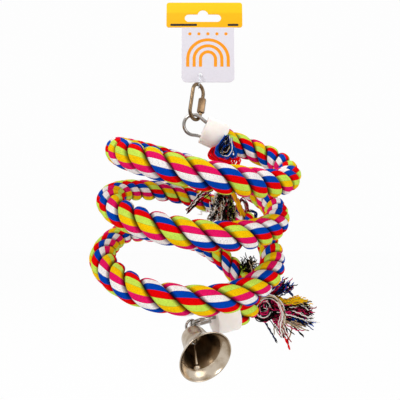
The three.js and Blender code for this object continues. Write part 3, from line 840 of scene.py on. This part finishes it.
# Quick link: one rod, bent round at both ends, with a gap on the side of the nut
def link_rod():
    upper, lower = LINK_BENDS
    points = [(LINK_RADIUS, 0, ROD_ENDS[1]), (LINK_RADIUS, 0, ROD_STOPS[1])]
    for middle, start in ((lower, 0), (upper, math.pi)):
        for i in range(BEND_STEPS + 1):
            a = start - math.pi * i / BEND_STEPS
            points.append((LINK_RADIUS * math.cos(a), 0, middle + LINK_RADIUS * math.sin(a)))
    points += [(LINK_RADIUS, 0, ROD_STOPS[0]), (LINK_RADIUS, 0, ROD_ENDS[0])]
    obj = bent_wire("link_rod", points, LINK_WIRE, closed=False, sides=5)
    settle(obj, LINK, bronzed_rod, "quick_link", 50)
    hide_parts("quick_link_body")


# Sleeve nut: a hexagonal bar with turned-down ends and a bore
def sleeve_nut():
    length = NUT_ENDS[1] - NUT_ENDS[0]
    half = length / 2
    corner = NUT_FLATS / 2 / math.cos(math.pi / 6)
    bore_radius = NUT_BORE / 2
    bpy.ops.object.select_all(action="DESELECT")
    bpy.ops.mesh.primitive_cylinder_add(vertices=6, radius=corner, depth=length, location=(0, 0, 0))
    obj = bpy.context.object
    obj.name = "hexagonal_sleeve_nut"
    obj.data.name = "hexagonal_sleeve_nut"
    side = half - NUT_CHAMFER
    collar = turned("nut_turning", [
        (0, -half), (NUT_END_RADIUS, -half), (NUT_TURNED_RADIUS, -side),
        (NUT_TURNED_RADIUS, side), (NUT_END_RADIUS, half), (0, half),
    ], 48)
    bore = turned("nut_bore", [(0, -length), (bore_radius, -length), (bore_radius, length), (0, length)], 32)
    apply_modifier(obj, "BOOLEAN", operation="INTERSECT", object=collar)
    apply_modifier(obj, "BOOLEAN", operation="DIFFERENCE", object=bore)
    bpy.data.objects.remove(collar)
    bpy.data.objects.remove(bore)
    edit(obj)
    bpy.ops.mesh.remove_doubles(threshold=0.02)
    bpy.ops.mesh.dissolve_limited(angle_limit=math.radians(1))
    object_mode()
    apply_modifier(obj, "BEVEL", width=NUT_EDGE, segments=2, limit_method="ANGLE")
    edit(obj)
    bpy.ops.mesh.remove_doubles(threshold=0.01)
    bpy.ops.mesh.dissolve_degenerate(threshold=0.01)
    bpy.ops.mesh.normals_make_consistent(inside=False)
    object_mode()
    place = Matrix.Translation((LINK_RADIUS, 0, (NUT_ENDS[0] + NUT_ENDS[1]) / 2))
    settle(obj, LINK @ place, bronzed_nut, "link_nut", 30)
    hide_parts("quick_link_nut")


link_rod()
sleeve_nut()


# Bell: an outer outline, the lip, and an inner outline one wall away
def bell():
    outside = [(r * BELL_RADIUS, z * BELL_HEIGHT) for r, z in BELL_OUTLINE]
    inside = []
    for i in range(len(outside) - 1, 0, -1):
        (r0, z0), (r1, z1) = outside[i - 1], outside[i]
        run = math.hypot(r1 - r0, z1 - z0)
        in_r = (r0 + r1) / 2 - BELL_WALL * (z1 - z0) / run
        in_z = (z0 + z1) / 2 + BELL_WALL * (r1 - r0) / run
        inside.append((in_r, in_z))
    inside.append((outside[0][0], BELL_WALL))
    obj = turned("bell_cup_turned", outside + BELL_LIP + inside + [outside[0]], 96)
    apply_modifier(obj, "SUBSURF", levels=1, render_levels=1)
    settle(obj, BELL, nickel, "bell", 180)
    # A darker copy of the finish goes on the inner faces deep in the bell, as painted shade
    obj.data.materials.append(nickel_painted_shade)
    back = BELL.inverted()
    turn = back.to_3x3()
    for face in obj.data.polygons:
        place = back @ face.center
        outward = Vector((place.x, place.y, 0))
        faces_in = (turn @ face.normal).dot(outward) < 0
        deep = place.z < PAINTED_SHADE_INSIDE_TO * BELL_HEIGHT
        face.material_index = 1 if faces_in and deep else 0
    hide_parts("bell_cup")


def circle(radius, steps):
    turns = [2 * math.pi * i / steps for i in range(steps)]
    return [(radius * math.cos(a), radius * math.sin(a)) for a in turns]


def split_ring():
    points = [(x, y, 0) for x, y in circle(RING_RADIUS, 40)]
    ring = bent_wire("bell_split_ring", points, RING_WIRE, closed=True, sides=4)
    settle(ring, RING, bright_steel, "ring", 60)
    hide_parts("bell_ring")


def clapper():
    points = [(x, 0, HOOK_RADIUS + z) for x, z in circle(HOOK_RADIUS, 28)]
    hook = bent_wire("clapper_wire_loop", points, HOOK_WIRE, closed=True, sides=3)
    settle(hook, CLAPPER, bright_steel, "clapper", 60)
    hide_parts("clapper_hook")
    shaft = turned("clapper_shaft", CLAPPER_ROD, 32)
    settle(shaft, CLAPPER, nickel, "clapper", 35)
    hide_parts("clapper_rod")
    foot = turned("clapper_foot", CLAPPER_FOOT, 40)
    apply_modifier(foot, "SUBSURF", levels=1, render_levels=1)
    settle(foot, CLAPPER, nickel, "clapper", 180)
    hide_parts("clapper_bead")


bell()
split_ring()
clapper()


# Header card print: plain bars, arches and dots, each a thin layer of ink
def inked(obj, colour):
    weld(obj)
    apply_modifier(obj, "SOLIDIFY", thickness=INK, offset=0)
    place = Matrix.Scale(MM, 4) @ Matrix.Translation((0, CARD_FRONT - INK, 0))
    settle(obj, place, colour, "card", 30)


def ink_bar(name, centre, width, height, corner, colour):
    bpy.ops.object.select_all(action="DESELECT")
    upright = (math.pi / 2, 0, 0)
    bpy.ops.mesh.primitive_plane_add(size=1, rotation=upright, location=(centre[0], 0, centre[1]))
    obj = bpy.context.object
    obj.name = name
    obj.scale = (width, height, 1)
    bpy.ops.object.transform_apply(location=True, rotation=True, scale=True)
    edit(obj)
    bpy.ops.mesh.bevel(offset=corner, offset_type="OFFSET", segments=8, affect="VERTICES")
    object_mode()
    inked(obj, colour)


def ink_arch(name, centre, inner, outer, leg, colour):
    obj = drawn_line(name, [(inner, 0, 0), (outer, 0, 0)])
    edit(obj)
    bpy.ops.mesh.spin(steps=40, angle=math.pi, center=(0, 0, 0), axis=(0, 1, 0))
    object_mode()
    for vertex in obj.data.vertices:
        vertex.select = abs(vertex.co.z) < 1e-3
    bpy.ops.object.mode_set(mode="EDIT")
    bpy.ops.mesh.select_mode(type="EDGE")
    bpy.ops.mesh.extrude_edges_move(TRANSFORM_OT_translate={"value": (0, 0, -leg)})
    bpy.ops.mesh.select_mode(type="VERT")
    object_mode()
    obj.data.transform(Matrix.Translation((centre[0], 0, centre[1])))
    inked(obj, colour)


ink_bar("ink_band_bar", (-21.5, BAR_UP), 30, BAR_HEIGHT, BAR_CORNER, charcoal)
ink_bar("ink_band_short_bar", (33.5, BAR_UP), 12, BAR_HEIGHT, BAR_CORNER, charcoal)
for i, (inner, outer) in enumerate(ARCH_RADII):
    ink_arch(f"ink_arch_{i}", ARCH_MIDDLE, inner, outer, ARCH_LEG, orange)
for i in range(DOTS):
    ink_bar(f"ink_dot_{i}", (FIRST_DOT[0] + DOT_STEP * i, FIRST_DOT[1]), DOT, DOT, DOT_CORNER, orange)


# Loose yarn: a point in the perch's frame, from where the camera sees it and how far back it is
def seen_at(across, down, depth):
    focal = LENS_MM / SENSOR_MM * PICTURE_PIXELS
    middle = PICTURE_PIXELS / 2
    ray = Vector(((across - middle) / focal, 1, (middle - down) / focal))
    ray.rotate(Matrix.Rotation(math.radians(CAMERA_PITCH_DEG), 3, "X"))
    start = Vector(CAMERA_AT)
    return start + ray * ((depth - start.y) / ray.y)


def scattered(chance, size):
    return Vector([chance.gauss(0, size) for _ in range(3)])


# One thread: its knots are moved a little, more at its free end, and it is crimped from its time in
# the twist
def thread_line(knots, chance, spread, crimp):
    at_root = scattered(chance, spread[0])
    at_end = scattered(chance, spread[1])
    moved = []
    for i, knot in enumerate(knots):
        t = i / (len(knots) - 1)
        loose = spread[0] + (spread[1] - spread[0]) * t
        moved.append(tuple(knot + at_root.lerp(at_end, t) + scattered(chance, loose * KNOT_SCATTER)))
    line, at = evenly(smooth_route(moved, 10), THREAD_STEP)
    for _ in range(CRIMPS):
        length = chance.uniform(*CRIMP_LENGTHS)
        phase = chance.uniform(0, 2 * math.pi)
        direction = np.array(scattered(chance, crimp))
        for i, s in enumerate(at):
            grown = min(1, s / CRIMP_GROWS_OVER)
            line[i] += direction * math.sin(2 * math.pi * s / length + phase) * grown
    return line


# A piece of loose yarn from its bunches. One that crosses the joint is left unattached, like the rope; the
# others go with the perch.
def loose_yarn(name, bunches, seed, crosses_joint, node_name):
    chance = random.Random(seed)
    positions = []
    faces = []
    dyes = []
    for bunch in bunches:
        for _ in range(bunch["count"]):
            colour = linear(YARN_DYES[chance.choice(bunch["dyes"])])
            knots = [seen_at(*place) for place in bunch["route"]]
            closeness = chance.uniform(bunch.get("nest", 1), 1)
            knots = [knots[0].lerp(knot, closeness) for knot in knots]
            if chance.random() < bunch.get("cut short", 0):
                knots[-1] = knots[-2].lerp(knots[-1], chance.uniform(*CUT_SHORT_AT))
            line = thread_line(knots, chance, bunch["spread"], bunch.get("crimp", THREAD_CRIMP))
            radius = bunch.get("thick", THREAD_THICKNESS) / 2 * chance.uniform(*THREAD_VARIES)
            add_tube(positions, faces, line, radius, radius * THREAD_END, THREAD_SIDES)
            dyes += [colour] * (len(line) * THREAD_SIDES)
    obj = mesh_piece(name, positions, faces, yarn_finish)
    layer = obj.data.attributes.new("dye", "FLOAT_COLOR", "POINT")
    layer.data.foreach_set("color", np.array(dyes, np.float32).ravel())
    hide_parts(node_name)
    if crosses_joint:
        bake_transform(obj)
    else:
        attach(obj, "perch")


# Each bunch: the route of its threads as the camera sees it (pixels across and down, then mm back), how
# many there are, how far they scatter at the root and at the free end, and their dyes. "nest" is the
# innermost thread's size as a share of the route, and "cut short" the share of threads that are cut.
SKEIN_BLUE = [
    {
        "route": [
            (227, 136, 22), (222, 143, 18), (216.5, 151, 16), (221, 157.5, 15),
            (229, 157, 15), (232, 148, 17), (228, 137, 21),
        ],
        "count": 17, "spread": (1.0, 0.8), "nest": 0.78, "dyes": ["blue", "blue", "navy", "blue"],
    },
    {
        "route": [
            (227, 138, 19), (223, 146, 15), (219, 153, 13),
            (225, 156, 12), (230, 150, 14), (228, 139, 18),
        ],
        "count": 30, "spread": (1.4, 1.6), "nest": 0.45, "thick": 0.95,
        "dyes": ["black", "blue", "black", "tan", "white", "navy"],
    },
    {
        "route": [
            (229, 139, 22), (233, 146, 20), (236, 155, 19),
            (233.5, 160, 18), (229.5, 152, 18), (228, 141, 20),
        ],
        "count": 12, "spread": (0.8, 0.8), "nest": 0.85, "dyes": ["blue", "blue", "navy"],
    },
]
SKEIN_RED = [
    {
        "route": [
            (226, 147, 26), (213, 149, 26), (208, 154, 24),
            (212, 160, 18), (223, 161.5, 13), (227, 150, 22),
        ],
        "count": 34, "spread": (1.3, 1.0), "nest": 0.5, "dyes": ["red", "red", "dark red", "red"],
    },
    {
        "route": [
            (211, 156, 22), (219, 161.5, 13), (229, 165, 10), (238, 166.5, 12),
            (240.5, 160, 18), (233, 155, 22), (224, 154, 24),
        ],
        "count": 46, "spread": (1.3, 1.2), "nest": 0.45, "dyes": ["red", "red", "dark red", "red"],
    },
]
BUNCH_MIDDLE = [
    {
        "route": [(224, 188, 74), (221, 199, 64), (217, 210, 60), (215, 219, 62)],
        "count": 75, "spread": (3.2, 5.4), "dyes": ["black", "black", "white", "tan", "black", "white"],
        "crimp": 1.1, "cut short": 0.8, "thick": 1.15,
    },
    {
        "route": [(227, 188, 74), (225, 200, 63), (223, 212, 59), (222, 221, 62)],
        "count": 100, "spread": (3.4, 5.4),
        "dyes": ["black", "white", "tan", "black", "black", "dark red"],
        "crimp": 1.1, "cut short": 0.8, "thick": 1.15,
    },
    {
        "route": [(230, 188, 74), (229, 201, 63), (230, 213, 60), (230, 221, 63)],
        "count": 50, "spread": (2.6, 3.6), "dyes": ["black", "black", "tan", "black", "lime", "grey"],
        "crimp": 1.1, "cut short": 0.8, "thick": 1.15,
    },
    {
        "route": [(231, 190, 60), (236.5, 200, 56), (241, 210, 55), (246, 220, 58)],
        "count": 30, "spread": (1.5, 2.0),
        "dyes": ["yellow", "yellow", "yellow", "pink"], "crimp": 0.3, "thick": 1.2,
    },
    {
        "route": [
            (238, 204, 74), (243, 199, 68), (248, 206, 66),
            (248, 215, 68), (242, 216, 74), (239, 208, 75),
        ],
        "count": 14, "spread": (0.9, 0.9), "nest": 0.7,
        "dyes": ["pink", "dark red", "black", "white"], "crimp": 0.12,
    },
    {
        "route": [(246, 213, 74), (251, 210, 68), (257, 213, 66), (256, 218, 70), (249, 219, 74)],
        "count": 9, "spread": (0.8, 0.8), "nest": 0.8,
        "dyes": ["white", "navy", "blue", "pink"], "crimp": 0.12,
    },
    {
        "route": [(210, 189, 70), (201, 196, 66), (194, 204, 66), (188, 211, 68)],
        "count": 40, "spread": (2.0, 1.6), "dyes": ["dark red", "black", "black", "white", "pink"],
        "crimp": 0.25, "cut short": 0.4,
    },
]
BUNCH_REAR = [
    {
        "route": [(246, 279, 30), (248, 273, 24), (250, 267.5, 22), (252, 263, 26)],
        "count": 90, "spread": (3.0, 4.2), "dyes": ["black", "black", "black", "black", "black", "tan"],
        "crimp": 0.7, "cut short": 0.5, "thick": 1.05,
    },
    {
        "route": [(244, 279, 28), (243, 273, 22), (243, 268, 22), (244, 265, 26)],
        "count": 50, "spread": (2.6, 3.4), "dyes": ["black", "black", "black", "dark red", "lime"],
        "crimp": 0.7, "cut short": 0.5, "thick": 1.05,
    },
]
BUNCH_LOWER = [
    {
        "route": [
            (265, 299, -8), (257, 304, -14), (254, 312, -16), (258, 321, -15),
            (267, 321, -12), (273, 312, -9), (268, 301, -7),
        ],
        "count": 60, "spread": (1.8, 1.8), "nest": 0.35,
        "dyes": ["black", "black", "black", "black", "white", "pink"],
        "crimp": 0.12, "thick": 1.2,
    },
    {
        "route": [
            (250, 305, -4), (260, 298, -12), (270, 296.5, -16), (279, 302, -17),
            (282.5, 313, -16), (281, 323, -12), (281, 332, -8),
        ],
        "count": 22, "spread": (1.3, 1.6),
        "dyes": ["white", "white", "white", "tan", "pink", "black"], "crimp": 0.15, "thick": 1.3,
    },
    {
        "route": [(268, 304, 0), (278, 308, -8), (289, 311, -6), (300, 312, 0), (309, 314, 4)],
        "count": 110, "spread": (3.2, 4.6),
        "dyes": ["black", "pink", "black", "white", "black", "dark red", "pink"],
        "crimp": 0.35, "cut short": 0.7, "thick": 1.25,
    },
    {
        "route": [(272, 300, 4), (283, 302, 0), (296, 302, 2), (309, 304, 6)],
        "count": 40, "spread": (2.2, 3.4), "dyes": ["black", "tan", "black", "lime", "grey", "yellow"],
        "crimp": 0.35, "cut short": 0.6, "thick": 1.25,
    },
    {
        "route": [(276, 298, 2), (286, 303, -6), (294, 301, -4), (303, 300, 4)],
        "count": 26, "spread": (1.6, 3.0), "dyes": ["yellow", "yellow", "yellow", "lime"], "crimp": 0.35,
        "cut short": 0.5, "thick": 1.2,
    },
    {
        "route": [(274, 308, 2), (288, 315, -4), (302, 320, 0), (313, 323, 4)],
        "count": 20, "spread": (1.8, 2.4), "dyes": ["blue", "blue", "navy", "black"], "crimp": 0.3,
        "cut short": 0.5, "thick": 1.3,
    },
    {
        "route": [(272, 310, 0), (284, 318, -6), (296, 324, -2), (306, 327, 2)],
        "count": 26, "spread": (2.0, 2.4), "dyes": ["tan", "black", "tan", "pink", "grey"], "crimp": 0.3,
        "cut short": 0.5, "thick": 1.25,
    },
    {
        "route": [(271, 294, 10), (279, 290, 4), (285, 287, 3), (290, 283, 6)],
        "count": 44, "spread": (3.2, 3.6), "dyes": ["black", "navy", "blue", "dark red", "pink", "black"],
        "crimp": 0.5, "cut short": 0.5, "thick": 1.15,
    },
    {
        "route": [(274, 280, 8), (281, 285, 4), (288, 291, 4), (293, 296, 6)],
        "count": 5, "spread": (0.6, 0.8), "dyes": ["blue", "navy"], "crimp": 0.2, "thick": 1.2,
    },
    {
        "route": [(272, 314, -4), (278, 321, -10), (282, 328, -8), (285, 334, -4)],
        "count": 55, "spread": (2.4, 3.4), "dyes": ["black", "white", "pink", "black", "tan", "dark red"],
        "crimp": 0.35, "cut short": 0.6, "thick": 1.25,
    },
    {
        "route": [(263, 318, -8), (267, 326, -8), (272, 334, -6), (276.5, 342, -4)],
        "count": 4, "spread": (0.5, 0.7), "dyes": ["dark red", "navy", "black"], "crimp": 0.25,
    },
    {
        "route": [(280, 330, -6), (284, 336, -4), (287, 342, -2), (290, 350, 0)],
        "count": 4, "spread": (0.5, 0.8), "dyes": ["red", "pink", "black"], "crimp": 0.25,
    },
    {
        "route": [(292, 325, -2), (291, 333, 0), (288, 341, 2)],
        "count": 3, "spread": (0.5, 0.7), "dyes": ["tan"], "crimp": 0.25,
    },
    {
        "route": [(291, 324, 0), (297, 330, 2), (304, 337, 4)],
        "count": 3, "spread": (0.5, 0.8), "dyes": ["black"], "crimp": 0.2,
    },
]
loose_yarn("blue_yarn_skein", SKEIN_BLUE, 11, False, "yarn_skein_blue")
loose_yarn("red_yarn_skein", SKEIN_RED, 12, False, "yarn_skein_red")
loose_yarn("middle_yarn_bunch", BUNCH_MIDDLE, 13, True, "yarn_bunch_middle")
loose_yarn("rear_yarn_bunch", BUNCH_REAR, 14, True, "yarn_bunch_rear")
loose_yarn("lower_yarn_bunch", BUNCH_LOWER, 15, True, "yarn_bunch_lower")

# Carried-over nodes get their own finishes
honey_resin = resin()
carried = {
    "upper_end_plug": honey_resin,
    "lower_end_plug": honey_resin,
    "header_card": printed_board(),
    "card_tag_loop": nylon(),
    "bell_lug": nickel,
}
for name, material in carried.items():
    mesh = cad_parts[name].data
    if not mesh.materials:
        mesh.materials.append(material)
    for i in range(len(mesh.materials)):
        mesh.materials[i] = material


# Stage: 1 where the camera sees a surface straight, by a reflection or through glass, and otherwise 0
def seen(tree):
    rays = node(tree, "ShaderNodeLightPath").outputs
    ways = {0: rays["Is Camera Ray"], 1: rays["Is Glossy Ray"]}
    either = node(tree, "ShaderNodeMath", ways, operation="MAXIMUM").outputs[0]
    ways = {0: either, 1: rays["Is Transmission Ray"]}
    return node(tree, "ShaderNodeMath", ways, operation="MAXIMUM").outputs[0]


# Matt white floor, faintly clouded. Seen by the camera it is nearly plain white and keeps the shadow.
def lay_floor():
    bpy.ops.object.select_all(action="DESELECT")
    bpy.ops.mesh.primitive_grid_add(x_subdivisions=4, y_subdivisions=4, size=8, location=(0, 2.5, -0.5))
    floor = bpy.context.object
    floor.name = "floor"
    made, tree, spot = new_material("matt_white_floor")
    cloud_look = {"Vector": spot, "Scale": 20.0, "Detail": 3.0}
    cloud = node(tree, "ShaderNodeTexNoise", cloud_look).outputs["Fac"]
    stops = [(0.3, "#f6f6f6"), (0.7, "#fbfbfb")]
    pale = node(tree, "ShaderNodeValToRGB", {"Fac": cloud}, stops).outputs[0]
    diffuse = node(tree, "ShaderNodeBsdfDiffuse", {"Color": pale})
    glow = node(tree, "ShaderNodeEmission", {"Color": (1, 1, 1, 1), "Strength": 1.0})
    share = node(tree, "ShaderNodeMath", {0: seen(tree), 1: FLOOR_GLOW}, operation="MULTIPLY").outputs[0]
    mixed = node(tree, "ShaderNodeMixShader", {0: share, 1: diffuse.outputs[0], 2: glow.outputs[0]})
    node(tree, "ShaderNodeOutputMaterial", {"Surface": mixed.outputs[0]})
    floor.data.materials.append(made)


def light_world():
    world = bpy.data.worlds.new("studio")
    world.use_nodes = True
    tree = world.node_tree
    tree.nodes.clear()
    more = {0: seen(tree), 1: WORLD_BEHIND - WORLD_AROUND}
    added = node(tree, "ShaderNodeMath", more, operation="MULTIPLY").outputs[0]
    strength = node(tree, "ShaderNodeMath", {0: added, 1: WORLD_AROUND}, operation="ADD").outputs[0]
    background = node(tree, "ShaderNodeBackground", {"Color": (1, 1, 1, 1), "Strength": strength})
    node(tree, "ShaderNodeOutputWorld", {"Surface": background.outputs[0]})
    bpy.context.scene.world = world


def hang_lamps():
    for name, place, size, power in LAMPS:
        light = bpy.data.lights.new(name, "AREA")
        light.shape = "DISK"
        light.size = size
        light.energy = power
        lamp = bpy.data.objects.new(name, light)
        lamp.location = place
        lamp.rotation_euler = (Vector(LAMPS_AIM) - Vector(place)).to_track_quat("-Z", "Y").to_euler()
        bpy.context.scene.collection.objects.link(lamp)


# A camera looks along its own -Z, so it is turned up by 90 degrees first
def set_camera():
    optics = bpy.data.cameras.new("camera")
    optics.sensor_width = SENSOR_MM
    optics.lens = LENS_MM
    optics.clip_start = 0.01
    camera = bpy.data.objects.new("camera", optics)
    turn = Matrix.Rotation(math.radians(PERCH_LEAN_DEG + 90 + CAMERA_PITCH_DEG), 4, "X")
    camera.matrix_world = Matrix.Translation(PERCH @ Vector(CAMERA_AT)) @ turn
    bpy.context.scene.collection.objects.link(camera)
    bpy.context.scene.camera = camera


lay_floor()
light_world()
hang_lamps()
set_camera()
bpy.context.scene.view_settings.view_transform = "Standard"
